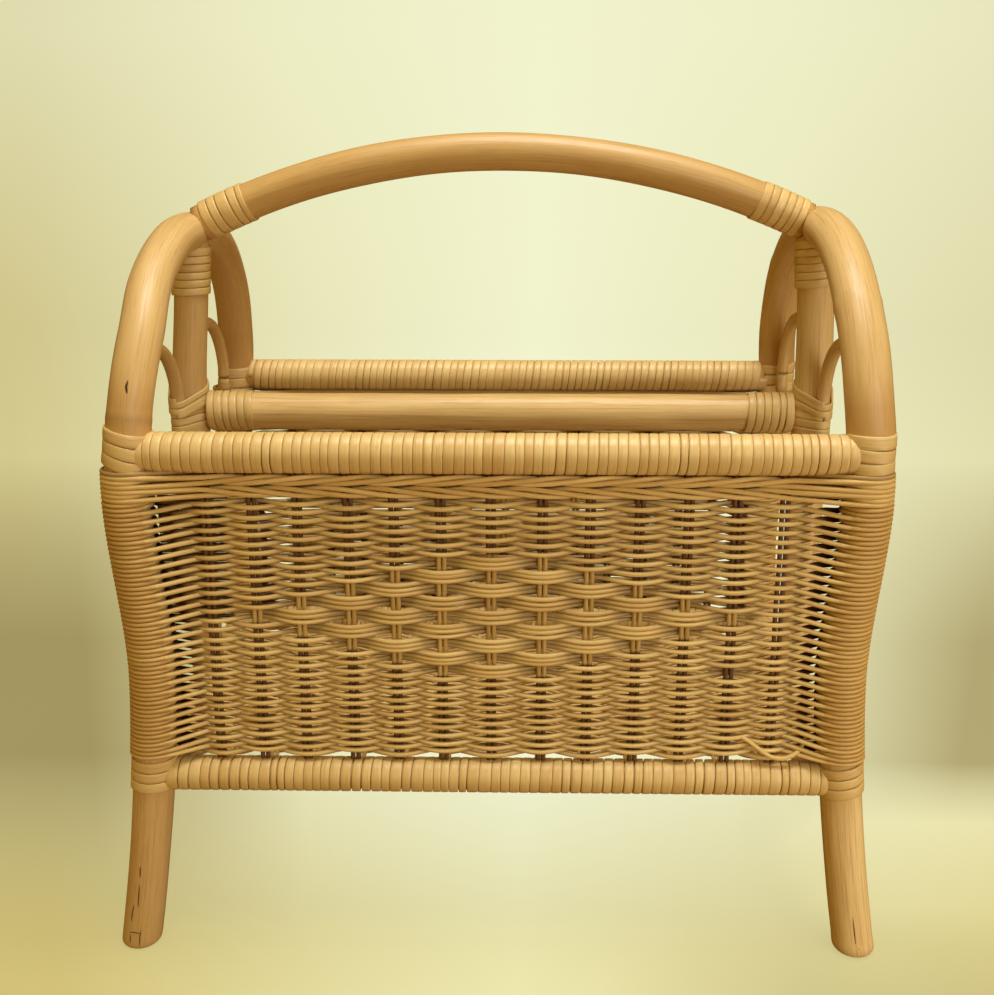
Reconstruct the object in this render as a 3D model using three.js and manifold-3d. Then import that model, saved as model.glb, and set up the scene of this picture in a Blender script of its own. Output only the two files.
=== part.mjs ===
// A rattan magazine basket: two arched end frames joined by rails and a bowed handle,
// with woven front, back and bottom, and cane wound round the rails and the joints.
// Millimetres, +Z up, front towards -Y. The origin is on the floor, midway between the feet.

import * as THREE from 'three';
import { mergeVertices } from 'three/addons/utils/BufferGeometryUtils.js';
import Module from 'manifold-3d';

const wasm = await Module();
wasm.setup();

// Driving dimensions of the frame
const frameSpacing = 390;
const postSpacing = 244;
const topRailHeight = 301;
const bottomRailHeight = 112;
const shoulderDrop = 2;
const centreRailDrop = 2;
const archRise = 117.5;
const archLean = 6;

// Poles
const postDiameter = 23.2;
const handleDiameter = 22;
const topRailDiameter = 19.4;
const bottomRailDiameter = 17;
const centreRailDiameter = 22.5;
const centrePostDiameter = 20.5;
const stretcherDiameter = 17;
const handleRise = 43;
const handleEndDrop = 2.5;

// Side sway of the bent poles, seen from the front
const footFlare = 17.5;
const waistDraw = 3.5;
const waistHeight = 178;
const swellOut = 3.2;
const swellHeight = 278;
const swellEndHeight = 340;
const flareCurve = 1.5;

// Curls between the posts
const curlRodDiameter = 8;
const curlRise = 45;
const curlOuterDrop = 10.5;
const curlInnerDrop = 14;

// Reeds of the woven panels
const reedDiameter = 2.7;
const stakeDiameter = 2.8;
const stakePairs = 13;
const stakePitch = 26.1;
const rowsBelowDiamond = 20;
const rowsAboveDiamond = 12;
const rowsPerTriple = 3;
const tripleBands = 9;
const bandsBelowDiamond = 2;
const bandsAboveDiamond = 2;
const bandClearance = 0.5;
const slackShare = 1.3;
const weaveFootGap = 0.9;
const borderWidth = 11.6;
const bottomBorderWidth = 5;
const bottomWeaveDepth = 190;
const bottomBands = 5;

// Flat cane of the windings
const caneThickness = 1.3;
const cornerCaneWidth = 4.8;
const cornerCaneGap = 0.7;
const reedGap = 0.7;
const reedLoopGap = 1.5;
const tieGap = 0.6;
const jointCaneWidth = 4.2;
const loopGap = 0.7;
const seatGap = 0.3;

// Numbers of facets and loops
const poleSides = 12;
const frameSteps = 44;
const handleSag = 0.31;
const centrePostSteps = 5;
const curlSides = 6;
const curlSteps = 14;
const loopSteps = 8;
const railLoops = 12;
const postLoops = 8;
const stretcherLoops = 5;
const cornerTurns = 3;
const seamTolerance = 1e-4;

const postRadius = postDiameter / 2;
const centrePostRadius = centrePostDiameter / 2;
const curlRodRadius = curlRodDiameter / 2;
const shoulderHeight = topRailHeight - shoulderDrop;
const centreRailHeight = topRailHeight - centreRailDrop;
const apexHeight = shoulderHeight + archRise;
const halfFrames = frameSpacing / 2;
const halfPosts = postSpacing / 2;
const halfTurn = Math.PI;
const fullTurn = 2 * Math.PI;
const handednesses = [['left', -1], ['right', 1]];
const faces = [['front', -1], ['back', 1]];
const sideways = new THREE.Vector3(0, 1, 0);

// How far the arch has leaned inwards at a height
function leanAt(height) {
  const share = Math.max(0, (height - shoulderHeight) / archRise);
  return archLean * share * share;
}

// How far a bent pole lies outside the frame's own plane at a height
function swayAt(height) {
  if (height <= waistHeight) {
    const share = 1 - height / waistHeight;
    return (footFlare + waistDraw) * Math.pow(share, flareCurve) - waistDraw;
  }
  if (height <= swellHeight) {
    const share = THREE.MathUtils.smoothstep(height, waistHeight, swellHeight);
    return (swellOut + waistDraw) * share - waistDraw;
  }
  const share = THREE.MathUtils.smoothstep(height, swellHeight, swellEndHeight);
  return swellOut * (1 - share) - leanAt(height);
}

// How far the pole lies from the frame's middle at a height, seen from the side
function archPlaceAt(height) {
  const share = THREE.MathUtils.clamp((height - shoulderHeight) / archRise, 0, 1);
  return halfPosts * Math.sqrt(1 - share * share);
}

// The centre line of an end frame: up the front leg, over the arch, down the back leg
class EndFrameLine extends THREE.Curve {
  constructor(side) {
    super();
    this.side = side;
    this.leg = shoulderHeight + postDiameter;
    this.quarter = (halfTurn / 2) * Math.hypot(halfPosts, archRise) / Math.SQRT2;
  }

  getPoint(share, target = new THREE.Vector3()) {
    const half = this.leg + this.quarter;
    const walked = 2 * half * Math.min(share, 1 - share);
    const face = share < 1 / 2 ? -1 : 1;
    const angle = Math.max(0, (walked - this.leg) / this.quarter) * (halfTurn / 2);
    const straight = Math.min(walked, this.leg) - postDiameter;
    const height = straight + archRise * Math.sin(angle);
    const across = this.side * (halfFrames + swayAt(height));
    return target.set(across, face * halfPosts * Math.cos(angle), height);
  }
}

// An upright stretch of a corner post's centre line
class PostLine extends THREE.Curve {
  constructor(side, face, bottom, top) {
    super();
    Object.assign(this, { side, face, bottom, top });
  }

  getPoint(share, target = new THREE.Vector3()) {
    const height = THREE.MathUtils.lerp(this.bottom, this.top, share);
    const across = this.side * (halfFrames + swayAt(height));
    return target.set(across, this.face * archPlaceAt(height), height);
  }
}

// The centre post stands straight and leans in with the arch at its top
class CentrePostLine extends THREE.Curve {
  constructor(side, bottom, top) {
    super();
    Object.assign(this, { side, bottom, top });
  }

  getPoint(share, target = new THREE.Vector3()) {
    const height = THREE.MathUtils.lerp(this.bottom, this.top, share);
    return target.set(this.side * (halfFrames - leanAt(height)), 0, height);
  }
}

// The bowed handle, from the left arch to the right one
const handleReach = halfFrames - archLean;
const handleEndHeight = apexHeight - handleEndDrop;
const handleCrownHeight = handleEndHeight + handleRise;
const handleBow = (handleReach * handleReach + handleRise * handleRise) / (2 * handleRise);
const handleAngle = Math.asin(handleReach / handleBow);
const handleStepAngle = 2 * Math.acos(1 - handleSag / Math.abs(handleBow));
const handleSteps = Math.ceil(2 * Math.abs(handleAngle) / handleStepAngle);

class HandleLine extends THREE.Curve {
  getPoint(share, target = new THREE.Vector3()) {
    const angle = THREE.MathUtils.lerp(-handleAngle, handleAngle, share);
    const across = handleBow * Math.sin(angle);
    const height = handleCrownHeight - handleBow * (1 - Math.cos(angle));
    return target.set(across, 0, height);
  }
}

// A curl: up beside the centre post, round a half circle, down beside the corner post
const boundRadius = loopInnerRadius(postRadius, cornerCaneGap) + caneThickness;
const caneStandOff = boundRadius + seatGap - postRadius;
const curlInnerPlace = centrePostRadius + seatGap + curlRodRadius;
const curlOuterPlace = halfPosts - postRadius - caneStandOff - curlRodRadius;
const curlBend = (curlOuterPlace - curlInnerPlace) / 2;
const curlMiddle = (curlOuterPlace + curlInnerPlace) / 2;
const curlSpringHeight = topRailHeight + curlRise - curlBend;
const curlOuterEndHeight = topRailHeight - curlOuterDrop;
const curlInnerEndHeight = centreRailHeight - curlInnerDrop;

class CurlLine extends THREE.Curve {
  constructor(side, face) {
    super();
    Object.assign(this, { side, face });
  }

  getPoint(share, target = new THREE.Vector3()) {
    const innerLeg = curlSpringHeight - curlInnerEndHeight;
    const outerLeg = curlSpringHeight - curlOuterEndHeight;
    const bend = halfTurn * curlBend;
    const walked = share * (innerLeg + bend + outerLeg);
    const angle = THREE.MathUtils.clamp((walked - innerLeg) / curlBend, 0, halfTurn);
    const left = Math.max(0, innerLeg - walked) + Math.max(0, walked - innerLeg - bend);
    const height = curlSpringHeight + curlBend * Math.sin(angle) - left;
    const place = curlMiddle - curlBend * Math.cos(angle);
    return target.set(this.side * halfFrames, this.face * place, height);
  }
}

function curlInnerPlaceAt(height) {
  const above = THREE.MathUtils.clamp(height - curlSpringHeight, 0, curlBend);
  return curlMiddle - Math.sqrt(curlBend * curlBend - above * above);
}

// Shapes and solids
function roundShape(radius, sides) {
  const corners = [];
  for (let i = 0; i < sides; i += 1) {
    const angle = (fullTurn * i) / sides;
    corners.push(new THREE.Vector2(radius * Math.cos(angle), radius * Math.sin(angle)));
  }
  return new THREE.Shape(corners);
}

function poleAlong(line, radius, sides, steps) {
  const shape = roundShape(radius, sides);
  return new THREE.ExtrudeGeometry(shape, { steps, extrudePath: line, bevelEnabled: false });
}

function straightPole(from, to, radius) {
  return poleAlong(new THREE.LineCurve3(from, to), radius, poleSides, 1);
}

function toSolid(geometry) {
  const bare = geometry.clone();
  bare.deleteAttribute('normal');
  bare.deleteAttribute('uv');
  const merged = mergeVertices(bare, seamTolerance);
  const triVerts = Uint32Array.from(merged.index.array);
  const vertProperties = Float32Array.from(merged.attributes.position.array);
  return new wasm.Manifold(new wasm.Mesh({ numProp: 3, vertProperties, triVerts }));
}

function toGeometry(solid) {
  const mesh = solid.getMesh();
  const geometry = new THREE.BufferGeometry();
  geometry.setAttribute('position', new THREE.Float32BufferAttribute(mesh.vertProperties, 3));
  geometry.setIndex(Array.from(mesh.triVerts));
  geometry.computeVertexNormals();
  return geometry;
}

function unite(geometries) {
  return toGeometry(geometries.map(toSolid).reduce((whole, solid) => whole.add(solid)));
}

function cutBy(geometry, cutters) {
  return toGeometry(cutters.reduce((solid, cutter) => solid.subtract(cutter), toSolid(geometry)));
}

// A closed skin from rows of corners, wound so that its faces point out
function closedGeometry(corners, triangles) {
  const geometry = new THREE.BufferGeometry();
  let volume = 0;
  for (const [a, b, c] of triangles) {
    volume += corners[a].dot(new THREE.Vector3().crossVectors(corners[b], corners[c]));
  }
  const order = volume < 0 ? triangles.map(([a, b, c]) => [a, c, b]) : triangles;
  const places = corners.flatMap((corner) => corner.toArray());
  geometry.setAttribute('position', new THREE.Float32BufferAttribute(places, 3));
  geometry.setIndex(order.flat());
  geometry.computeVertexNormals();
  return geometry;
}

// Windings: a crowned strip led round an axis as one unbroken tube
function loopInnerRadius(coreRadius, gap = seatGap) {
  return (coreRadius + gap) / Math.cos(halfTurn / loopSteps);
}

function roundLoop(coreRadius, gap = seatGap) {
  const radius = loopInnerRadius(coreRadius, gap);
  return (step) => {
    const angle = (fullTurn * step) / loopSteps;
    const outward = new THREE.Vector2(Math.cos(angle), Math.sin(angle));
    return { place: outward.clone().multiplyScalar(radius), outward, lift: 0 };
  };
}

function windStrip(name, axis, span, turns, width, thickness, loop) {
  const corners = [];
  const triangles = [];
  const rings = turns * loopSteps;
  for (let i = 0; i <= rings; i += 1) {
    const along = THREE.MathUtils.lerp(span[0], span[1], i / rings);
    const centre = axis.getPointAt(along);
    const tangent = axis.getTangentAt(along);
    const second = new THREE.Vector3().crossVectors(tangent, sideways);
    const { place, outward, lift } = loop(i % loopSteps, centre.z);
    const base = centre.clone().addScaledVector(sideways, place.x).addScaledVector(second, place.y);
    base.addScaledVector(tangent, lift);
    const out = sideways.clone().multiplyScalar(outward.x).addScaledVector(second, outward.y);
    corners.push(base.clone().addScaledVector(tangent, -width / 2));
    corners.push(base.clone().addScaledVector(tangent, width / 2));
    corners.push(base.clone().addScaledVector(out, thickness));
  }
  for (let i = 0; i < rings; i += 1) {
    for (let j = 0; j < 3; j += 1) {
      const here = 3 * i + j;
      const next = 3 * i + ((j + 1) % 3);
      triangles.push([here, next, next + 3], [here, next + 3, here + 3]);
    }
  }
  triangles.push([0, 2, 1], [3 * rings, 3 * rings + 1, 3 * rings + 2]);
  reportSelfGap(name, corners);
  return closedGeometry(corners, triangles);
}

function windCane(name, axis, span, turns, width, loop) {
  return windStrip(name, axis, span, turns, width, caneThickness, loop);
}

// The least distance between the edges of one loop and those of the next
function reportSelfGap(name, corners) {
  let least = Infinity;
  const loopCorners = 3 * loopSteps;
  for (let i = 0; i + loopCorners < corners.length; i += 1) {
    const reach = Math.min(corners.length, i + loopCorners + 3);
    for (let j = i + loopCorners - 3; j < reach; j += 1) {
      least = Math.min(least, corners[i].distanceTo(corners[j]));
    }
  }
  console.log(`${name}: least gap between its loops ${least.toFixed(2)} mm`);
}

// Materials
const poleColour = '#d9a962';
const paleColour = '#e2b978';
const reedColour = '#cfa35d';
const caneColour = '#dcb172';

function rattan(colour, roughness) {
  return new THREE.MeshStandardMaterial({ color: colour, roughness, metalness: 0 });
}

const basket = new THREE.Group();

function addPiece(name, geometry, colour, roughness = 0.5) {
  const mesh = new THREE.Mesh(geometry, rattan(colour, roughness));
  mesh.name = name;
  basket.add(mesh);
}

// The end frames, each one bent pole with its feet cut level
const floorBlock = new THREE.BoxGeometry(2 * frameSpacing, 2 * postSpacing, 2 * postDiameter);
floorBlock.translate(0, 0, -postDiameter);
const floorSolid = toSolid(floorBlock);
const frameSolids = {};
for (const [hand, side] of handednesses) {
  const line = new EndFrameLine(side);
  const pole = poleAlong(line, postRadius, poleSides, frameSteps);
  addPiece(`${hand}_arch_frame`, cutBy(pole, [floorSolid]), poleColour);
  frameSolids[hand] = {
    bare: toSolid(poleAlong(line, postRadius + seatGap, poleSides, frameSteps)),
    bound: toSolid(poleAlong(line, postRadius + caneStandOff, poleSides, frameSteps)),
  };
}
const bareFrames = [frameSolids.left.bare, frameSolids.right.bare];
const boundFrames = [frameSolids.left.bound, frameSolids.right.bound];

// The handle is coped over the tops of the arches
const handleLine = new HandleLine();
const handleRadius = handleDiameter / 2;
const handlePole = poleAlong(handleLine, handleRadius, poleSides, handleSteps);
const handleSeat = toSolid(poleAlong(handleLine, handleRadius + seatGap, poleSides, handleSteps));
addPiece('handle', cutBy(handlePole, bareFrames), paleColour);

// The outer rails are coped to the bound corner posts
function railBetweenFrames(place, height, radius) {
  const reach = halfFrames + swayAt(height);
  const from = new THREE.Vector3(-reach, place, height);
  return straightPole(from, new THREE.Vector3(reach, place, height), radius);
}

const topRailRadius = topRailDiameter / 2;
const bottomRailRadius = bottomRailDiameter / 2;
for (const [position, face] of faces) {
  const place = face * halfPosts;
  const topRail = railBetweenFrames(place, topRailHeight, topRailRadius);
  const bottomRail = railBetweenFrames(place, bottomRailHeight, bottomRailRadius);
  addPiece(`${position}_top_rail`, cutBy(topRail, boundFrames), poleColour);
  addPiece(`${position}_bottom_rail`, cutBy(bottomRail, boundFrames), poleColour);
}

// The bottom stretcher of each end runs from the front post to the back post
const stretcherRadius = stretcherDiameter / 2;
const stretcherAcross = halfFrames + swayAt(bottomRailHeight);
for (const [hand, side] of handednesses) {
  const from = new THREE.Vector3(side * stretcherAcross, -halfPosts, bottomRailHeight);
  const to = new THREE.Vector3(side * stretcherAcross, halfPosts, bottomRailHeight);
  const pole = straightPole(from, to, stretcherRadius);
  addPiece(`${hand}_bottom_stretcher`, cutBy(pole, [frameSolids[hand].bound]), poleColour);
}

// The centre posts stand on the stretchers and are coped under the arches and the handle
const centrePostFoot = bottomRailHeight + stretcherRadius / 2;
for (const [hand, side] of handednesses) {
  const line = new CentrePostLine(side, centrePostFoot, apexHeight);
  const pole = poleAlong(line, centrePostRadius, poleSides, centrePostSteps);
  const from = new THREE.Vector3(side * stretcherAcross, -halfPosts, bottomRailHeight);
  const to = new THREE.Vector3(side * stretcherAcross, halfPosts, bottomRailHeight);
  const seat = toSolid(straightPole(from, to, stretcherRadius + seatGap));
  addPiece(`${hand}_centre_post`, cutBy(pole, [seat, frameSolids[hand].bare, handleSeat]), poleColour);
}

// The centre rail butts against the cane round the centre posts
const centreRailReach = halfFrames - centrePostRadius - tieGap - caneThickness - seatGap;
const centreRailRadius = centreRailDiameter / 2;
const centreRailFrom = new THREE.Vector3(-centreRailReach, 0, centreRailHeight);
const centreRailTo = new THREE.Vector3(centreRailReach, 0, centreRailHeight);
addPiece('centre_rail', straightPole(centreRailFrom, centreRailTo, centreRailRadius), paleColour);

// The curls
for (const [hand, side] of handednesses) {
  for (const [position, face] of faces) {
    const curl = poleAlong(new CurlLine(side, face), curlRodRadius, curlSides, curlSteps);
    addPiece(`${hand}_${position}_curl`, curl, poleColour);
  }
}

// Doubled stakes of the panels, gripped near their ends by rows of woven border
function stakeMiddles() {
  return Array.from({ length: stakePairs }, (_, i) => (i - (stakePairs - 1) / 2) * stakePitch);
}

function windingOuterRadius(coreRadius) {
  return loopInnerRadius(coreRadius) + caneThickness;
}

const stakeRadius = stakeDiameter / 2;

function stakeMiddlesInPairs() {
  const half = (stakeDiameter + seatGap) / 2;
  return stakeMiddles().flatMap((middle) => [middle - half, middle + half]);
}

// The stakes hang like the teeth of a comb on the border that grips them all
function stakeComb(foot, head, borderFoot, borderHead, reach) {
  const outline = [new THREE.Vector2(-reach, borderFoot)];
  for (const across of stakeMiddlesInPairs()) {
    outline.push(new THREE.Vector2(across - stakeRadius, borderFoot));
    outline.push(new THREE.Vector2(across - stakeRadius, foot));
    outline.push(new THREE.Vector2(across + stakeRadius, foot));
    outline.push(new THREE.Vector2(across + stakeRadius, borderFoot));
  }
  outline.push(new THREE.Vector2(reach, borderFoot), new THREE.Vector2(reach, borderHead));
  for (const across of head > borderHead ? stakeMiddlesInPairs().reverse() : []) {
    outline.push(new THREE.Vector2(across + stakeRadius, borderHead));
    outline.push(new THREE.Vector2(across + stakeRadius, head));
    outline.push(new THREE.Vector2(across - stakeRadius, head));
    outline.push(new THREE.Vector2(across - stakeRadius, borderHead));
  }
  outline.push(new THREE.Vector2(-reach, borderHead));
  const shape = new THREE.Shape(outline);
  const comb = new THREE.ExtrudeGeometry(shape, { depth: stakeDiameter, bevelEnabled: false });
  return comb.translate(0, 0, -stakeRadius);
}

// A woven band passes the stakes in turn on one side and the other
function wovenBand(reach, phase, base, height, outward = 1) {
  const line = [new THREE.Vector2(-reach, 0)];
  stakeMiddles().forEach((middle, i) => {
    const over = (i + phase) % 2 === 0 ? 1 : -1;
    line.push(new THREE.Vector2(middle, over * outward * bandSwing));
  });
  line.push(new THREE.Vector2(reach, 0));
  const half = reedDiameter / 2;
  const near = line.map((point) => new THREE.Vector2(point.x, point.y - half));
  const far = line.map((point) => new THREE.Vector2(point.x, point.y + half)).reverse();
  const outline = new THREE.Shape([...near, ...far]);
  const band = new THREE.ExtrudeGeometry(outline, { depth: height, bevelEnabled: false });
  return band.translate(0, 0, base);
}

const bandSwing = (stakeRadius + seatGap + reedDiameter / 2) * slackShare;

// The reeds turn round the poles at both ends of a panel, drawn as one broad strip
function reedWinding(name, line, loops, coreRadius) {
  const length = line.getLength();
  const pitch = length / (loops + 1);
  const start = pitch / 2 / length;
  const loop = roundLoop(coreRadius, reedGap);
  return windStrip(name, line, [start, 1 - start], loops, pitch - reedLoopGap, reedDiameter, loop);
}

function reedGrip(coreRadius) {
  return loopInnerRadius(coreRadius, reedGap) + reedDiameter / 8;
}

const cornerPitch = cornerCaneWidth + loopGap;
const cornerClimb = (cornerTurns * cornerPitch) / 2;
const cornerReach = cornerClimb + cornerCaneWidth / 2 + seatGap;

function postReeds(name, side) {
  const bottom = bottomRailHeight + cornerReach;
  const line = new PostLine(side, 0, bottom, topRailHeight - cornerReach);
  return reedWinding(name, line, postLoops, postRadius);
}

// The reeds of a panel run from post to post, in bands of several rows
const stakeFoot = bottomRailHeight + windingOuterRadius(bottomRailRadius) + seatGap;
const stakeHead = topRailHeight - windingOuterRadius(topRailRadius) - seatGap;
const weaveBottomHeight = stakeFoot - seatGap + weaveFootGap;
const weaveTopHeight = stakeHead - borderWidth;
const weaveHeight = weaveTopHeight - weaveBottomHeight;
const diamondRows = tripleBands * rowsPerTriple;
const rowPitch = weaveHeight / (rowsBelowDiamond + diamondRows + rowsAboveDiamond);
const diamondMiddleBand = bandsBelowDiamond + (tripleBands - 1) / 2;

// The heights of the bands: three rows each beside the diamond's triples, more below and above
function bandHeights() {
  const below = (rowsBelowDiamond * rowPitch) / bandsBelowDiamond;
  const above = (rowsAboveDiamond * rowPitch) / bandsAboveDiamond;
  return [
    ...Array(bandsBelowDiamond).fill(below),
    ...Array(tripleBands).fill(rowsPerTriple * rowPitch),
    ...Array(bandsAboveDiamond).fill(above),
  ];
}

function panelReeds(name, face) {
  const pieces = handednesses.map(([hand, side]) => postReeds(`${name} ${hand}`, side));
  let base = weaveBottomHeight;
  bandHeights().forEach((height, i) => {
    const middle = halfFrames + swayAt(base + height / 2);
    const reach = middle - reedGrip(postRadius);
    const phase = i - diamondMiddleBand;
    pieces.push(wovenBand(reach, phase, base, height - bandClearance, face));
    base += height;
  });
  return unite(pieces);
}

function panelStakes() {
  const sway = Math.min(swayAt(weaveTopHeight), swayAt(stakeHead));
  const reach = halfFrames + sway - windingOuterRadius(postRadius) - 2 * reedDiameter;
  const comb = stakeComb(stakeFoot, stakeHead, weaveTopHeight, stakeHead, reach);
  return comb.rotateX(halfTurn / 2);
}

for (const [position, face] of faces) {
  const place = face * halfPosts;
  addPiece(`${position}_stakes`, panelStakes().translate(0, place, 0), reedColour);
  const reeds = panelReeds(`${position}_weave`, face);
  addPiece(`${position}_weave`, reeds.translate(0, place, 0), reedColour);
}

// The bottom is woven the same way between the stretchers, lying on its back
const bottomStakeReach = halfPosts - windingOuterRadius(bottomRailRadius) - seatGap;
const bottomBandPitch = bottomWeaveDepth / bottomBands;
const halfBottom = bottomWeaveDepth / 2;
const reedsStart = centrePostRadius + reedDiameter;

function bottomReeds(name) {
  const pieces = [];
  for (const [hand, side] of handednesses) {
    for (const [position, face] of faces) {
      const across = side * stretcherAcross;
      const near = new THREE.Vector3(across, 0, face * reedsStart);
      const far = new THREE.Vector3(across, 0, face * halfBottom);
      const line = new THREE.LineCurve3(face < 0 ? far : near, face < 0 ? near : far);
      const strip = `${name} ${hand} ${position}`;
      pieces.push(reedWinding(strip, line, stretcherLoops, stretcherRadius));
    }
  }
  const reach = stretcherAcross - reedGrip(stretcherRadius);
  for (let i = 0; i < bottomBands; i += 1) {
    const base = i * bottomBandPitch - halfBottom;
    pieces.push(wovenBand(reach, i, base, bottomBandPitch - bandClearance));
  }
  return unite(pieces).rotateX(halfTurn / 2);
}

function bottomStakes() {
  const reach = stretcherAcross - reedGrip(stretcherRadius) - 2 * reedDiameter;
  const borderFoot = halfBottom + bandClearance;
  const borderHead = borderFoot + bottomBorderWidth;
  return stakeComb(-bottomStakeReach, bottomStakeReach, borderFoot, borderHead, reach);
}

addPiece('bottom_stakes', bottomStakes().translate(0, 0, bottomRailHeight), reedColour);
const bottomWeave = bottomReeds('bottom_weave');
addPiece('bottom_weave', bottomWeave.translate(0, 0, bottomRailHeight), reedColour);

// Cane round the outer rails
function railWinding(name, place, height, coreRadius) {
  const reach = halfFrames + swayAt(height) - postRadius - caneStandOff;
  const from = new THREE.Vector3(-reach, place, height);
  const to = new THREE.Vector3(reach, place, height);
  const pitch = (2 * reach) / (railLoops + 1);
  const width = pitch - loopGap;
  const start = pitch / 2 / (2 * reach);
  const axis = new THREE.LineCurve3(from, to);
  return windCane(name, axis, [start, 1 - start], railLoops, width, roundLoop(coreRadius));
}

for (const [position, face] of faces) {
  const place = face * halfPosts;
  const topName = `${position}_top_rail_cane`;
  const bottomName = `${position}_bottom_rail_cane`;
  addPiece(topName, railWinding(topName, place, topRailHeight, topRailRadius), caneColour);
  const bottomCane = railWinding(bottomName, place, bottomRailHeight, bottomRailRadius);
  addPiece(bottomName, bottomCane, caneColour);
}

// Cane round the corner posts where the rails meet them
function cornerBinding(name, side, face, height) {
  const line = new PostLine(side, face, height - cornerClimb, height + cornerClimb);
  const loop = roundLoop(postRadius, cornerCaneGap);
  return windCane(name, line, [0, 1], cornerTurns, cornerCaneWidth, loop);
}

for (const [hand, side] of handednesses) {
  for (const [position, face] of faces) {
    const topName = `${position}_${hand}_top_corner_cane`;
    const bottomName = `${position}_${hand}_bottom_corner_cane`;
    addPiece(topName, cornerBinding(topName, side, face, topRailHeight), caneColour);
    addPiece(bottomName, cornerBinding(bottomName, side, face, bottomRailHeight), caneColour);
  }
}

// Cane at both ends of the handle and the centre rail, and at the top of the centre posts
const jointPitch = jointCaneWidth + loopGap;
const jointTurns = 6;
const jointSpan = jointTurns * jointPitch;
const handleLength = handleLine.getLength();
const handleCaneStart = postRadius + jointCaneWidth;
const railCaneStart = jointCaneWidth / 2 + seatGap;
const centreRailLine = new THREE.LineCurve3(centreRailFrom, centreRailTo);
const centreRailLength = 2 * centreRailReach;
const postCaneTop = apexHeight - postRadius - jointCaneWidth;

function spanFromEnd(side, start, length) {
  const near = start / length;
  const far = (start + jointSpan) / length;
  return side < 0 ? [near, far] : [1 - far, 1 - near];
}

for (const [hand, side] of handednesses) {
  const handleName = `handle_${hand}_cane`;
  const handleSpan = spanFromEnd(side, handleCaneStart, handleLength);
  const handleLoop = roundLoop(handleRadius);
  const handleCane = windCane(
    handleName, handleLine, handleSpan, jointTurns, jointCaneWidth, handleLoop);
  addPiece(handleName, handleCane, caneColour);

  const railName = `centre_rail_${hand}_cane`;
  const railSpan = spanFromEnd(side, railCaneStart, centreRailLength);
  const railLoop = roundLoop(centreRailRadius);
  const railCane = windCane(
    railName, centreRailLine, railSpan, jointTurns, jointCaneWidth, railLoop);
  addPiece(railName, railCane, caneColour);

  const topName = `${hand}_centre_post_top_cane`;
  const topLine = new CentrePostLine(side, postCaneTop - jointSpan, postCaneTop);
  const topLoop = roundLoop(centrePostRadius);
  const topCane = windCane(topName, topLine, [0, 1], jointTurns, jointCaneWidth, topLoop);
  addPiece(topName, topCane, caneColour);
}

// The binding that ties the two curls to the centre post, wound round all three
const tieTurns = 5;
const tieTilt = 3;
const steepestEaseShare = 1.5;
const tiePitch = jointPitch + (steepestEaseShare * tieTilt) / tieTurns;
const tieBottom = curlInnerEndHeight + jointCaneWidth / 2;
const tieTop = tieBottom + tieTurns * tiePitch;
const tieShoulderShare = 0.45;

function tieLoop(side) {
  const flat = centrePostRadius + tieGap;
  const shoulder = centrePostRadius * tieShoulderShare;
  return (step, height) => {
    const end = curlInnerPlaceAt(height + jointPitch) + curlRodRadius + tieGap;
    const eighth = (step + 1 / 2) / loopSteps;
    const angle = fullTurn * eighth;
    const atEnd = Math.abs(Math.cos(angle)) > Math.abs(Math.sin(angle));
    const alongReach = atEnd ? end : shoulder;
    const acrossReach = atEnd ? shoulder : flat;
    const along = Math.sign(Math.cos(angle)) * alongReach;
    const across = Math.sign(Math.sin(angle)) * acrossReach;
    const outward = new THREE.Vector2(Math.cos(angle), Math.sin(angle));
    const ease = THREE.MathUtils.smoothstep(height, tieBottom, tieTop);
    const lift = (side * across / flat) * tieTilt * ease;
    return { place: new THREE.Vector2(along, across), outward, lift };
  };
}

for (const [hand, side] of handednesses) {
  const name = `${hand}_curl_tie`;
  const line = new CentrePostLine(side, tieBottom, tieTop);
  const tie = windCane(name, line, [0, 1], tieTurns, jointCaneWidth, tieLoop(side));
  addPiece(name, tie, caneColour);
}

export default basket;
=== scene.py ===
# %% [markdown]
# # A rattan magazine basket
# Two bent poles make the end frames, rails and a bowed handle join them, and the walls are woven
# from round reed on doubled stakes. Flat cane is wound round every rail and joint.
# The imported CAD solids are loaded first, and each is then replaced by a finer piece in the same
# place. The pieces are worked out in millimetres, and only the camera, the sheet and the lamps
# are placed in metres.

import math

import bpy
import numpy as np
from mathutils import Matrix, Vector
from numpy.random import default_rng


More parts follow.
